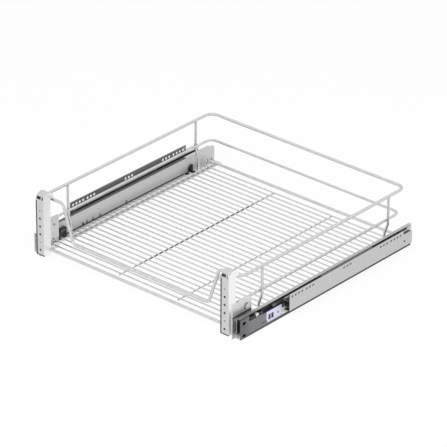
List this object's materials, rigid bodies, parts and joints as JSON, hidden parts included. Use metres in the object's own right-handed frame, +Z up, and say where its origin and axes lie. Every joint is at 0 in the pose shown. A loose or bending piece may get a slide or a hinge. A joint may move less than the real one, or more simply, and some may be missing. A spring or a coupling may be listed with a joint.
{
  "type": "pull-out cabinet basket",
  "caption": "Wire basket on a pair of full-extension ball runners that screw to the cabinet walls, with front brackets for a door front.",
  "frame": {"origin": "middle of the bounding box in X and Y, at the foot of the side plates", "axes": "+X across the cabinet towards the right wall, +Y into the cabinet, +Z up"},
  "size_m": [0.564, 0.533, 0.1424],
  "materials": {
    "profile_steel": "satin zinc, light grey",
    "runner_steel": "satin zinc",
    "bracket_steel": "bright zinc",
    "dark_steel": "blackened",
    "chrome_wire": "polished",
    "ball_steel": "polished",
    "spring_steel": "plain",
    "cage_plastic": "matt",
    "white_plastic": "satin, slightly blue",
    "catch_plastic": "matt grey-green",
    "black_plastic": "matt",
    "stop_rubber": "matt"
  },
  "bodies": {
    "cabinet": {"cabinet_profile_left": "profile_steel", "cabinet_profile_right": "profile_steel", "catch_pin_left": "runner_steel", "catch_pin_right": "runner_steel", "rear_stop_left": "stop_rubber", "rear_stop_right": "stop_rubber"},
    "basket": {"top_rail": "chrome_wire", "front_rail": "chrome_wire", "mid_rail": "chrome_wire", "upright_front_left": "chrome_wire", "upright_front_right": "chrome_wire", "upright_back_left": "chrome_wire", "upright_back_right": "chrome_wire", "floor_front_wire": "chrome_wire", "floor_back_wire": "chrome_wire", "floor_side_wire_left": "chrome_wire", "floor_side_wire_right": "chrome_wire", "floor_wires": "chrome_wire", "cross_wire_left": "chrome_wire", "cross_wire_right": "chrome_wire", "front_bracket_left": "bracket_steel", "front_bracket_right": "bracket_steel", "side_plate_left": "bracket_steel", "side_plate_right": "bracket_steel", "clamp_screw_left": "bracket_steel", "clamp_screw_right": "bracket_steel", "plate_spacers_left": "bracket_steel", "plate_spacers_right": "bracket_steel", "plate_screws_left": "dark_steel", "plate_screws_right": "dark_steel", "drawer_member_left": "runner_steel", "drawer_member_right": "runner_steel", "damper_housing_left": "white_plastic", "damper_housing_right": "white_plastic", "damper_cylinder_left": "ball_steel", "damper_cylinder_right": "ball_steel", "pull_spring_left": "spring_steel", "pull_spring_right": "spring_steel", "lever_pin_left": "ball_steel", "lever_pin_right": "ball_steel", "wire_clip_left": "black_plastic", "wire_clip_right": "black_plastic"},
    "middle_left": {"middle_member_left": "runner_steel"},
    "outer_carriage_left": {"outer_cage_left": "cage_plastic", "outer_balls_left": "ball_steel"},
    "inner_carriage_left": {"inner_cage_left": "cage_plastic", "inner_balls_left": "ball_steel"},
    "soft_catch_left": {"catch_left": "catch_plastic", "piston_rod_left": "ball_steel"},
    "lever_left": {"release_lever_left": "black_plastic"},
    "wheel_left": {"adjuster_wheel_left": "bracket_steel"},
    "middle_right": {"middle_member_right": "runner_steel"},
    "outer_carriage_right": {"outer_cage_right": "cage_plastic", "outer_balls_right": "ball_steel"},
    "inner_carriage_right": {"inner_cage_right": "cage_plastic", "inner_balls_right": "ball_steel"},
    "soft_catch_right": {"catch_right": "catch_plastic", "piston_rod_right": "ball_steel"},
    "lever_right": {"release_lever_right": "black_plastic"},
    "wheel_right": {"adjuster_wheel_right": "bracket_steel"}
  },
  "joints": [
    {"name": "basket_slide", "type": "slide", "parent": "cabinet", "child": "basket", "axis": [0, -1, 0], "range_m": [0, 0.45]},
    {"name": "middle_left_slide", "type": "slide", "parent": "cabinet", "child": "middle_left", "axis": [0, -1, 0], "range_m": [0, 0.225]},
    {"name": "outer_carriage_left_slide", "type": "slide", "parent": "cabinet", "child": "outer_carriage_left", "axis": [0, -1, 0], "range_m": [0, 0.1125]},
    {"name": "inner_carriage_left_slide", "type": "slide", "parent": "cabinet", "child": "inner_carriage_left", "axis": [0, -1, 0], "range_m": [0, 0.3375]},
    {"name": "soft_catch_left_slide", "type": "slide", "parent": "basket", "child": "soft_catch_left", "axis": [0, 1, 0], "range_m": [0, 0.044]},
    {"name": "lever_left_pivot", "type": "hinge", "parent": "basket", "child": "lever_left", "pos_m": [-0.2512, -0.2195, 0.021], "axis": [1, 0, 0], "range_deg": [0, 15]},
    {"name": "wheel_left_turn", "type": "hinge", "parent": "basket", "child": "wheel_left", "pos_m": [-0.2459, -0.2135, 0.011], "axis": [1, 0, 0], "range_deg": [-90, 90]},
    {"name": "middle_right_slide", "type": "slide", "parent": "cabinet", "child": "middle_right", "axis": [0, -1, 0], "range_m": [0, 0.225]},
    {"name": "outer_carriage_right_slide", "type": "slide", "parent": "cabinet", "child": "outer_carriage_right", "axis": [0, -1, 0], "range_m": [0, 0.1125]},
    {"name": "inner_carriage_right_slide", "type": "slide", "parent": "cabinet", "child": "inner_carriage_right", "axis": [0, -1, 0], "range_m": [0, 0.3375]},
    {"name": "soft_catch_right_slide", "type": "slide", "parent": "basket", "child": "soft_catch_right", "axis": [0, 1, 0], "range_m": [0, 0.044]},
    {"name": "lever_right_pivot", "type": "hinge", "parent": "basket", "child": "lever_right", "pos_m": [0.2512, -0.2195, 0.021], "axis": [1, 0, 0], "range_deg": [0, 15]},
    {"name": "wheel_right_turn", "type": "hinge", "parent": "basket", "child": "wheel_right", "pos_m": [0.2459, -0.2135, 0.011], "axis": [1, 0, 0], "range_deg": [-90, 90]}
  ],
  "couplings": [
    {"joint": "middle_left_slide", "follows": "basket_slide", "ratio": 0.5},
    {"joint": "outer_carriage_left_slide", "follows": "basket_slide", "ratio": 0.25},
    {"joint": "inner_carriage_left_slide", "follows": "basket_slide", "ratio": 0.75},
    {"joint": "middle_right_slide", "follows": "basket_slide", "ratio": 0.5},
    {"joint": "outer_carriage_right_slide", "follows": "basket_slide", "ratio": 0.25},
    {"joint": "inner_carriage_right_slide", "follows": "basket_slide", "ratio": 0.75}
  ]
}
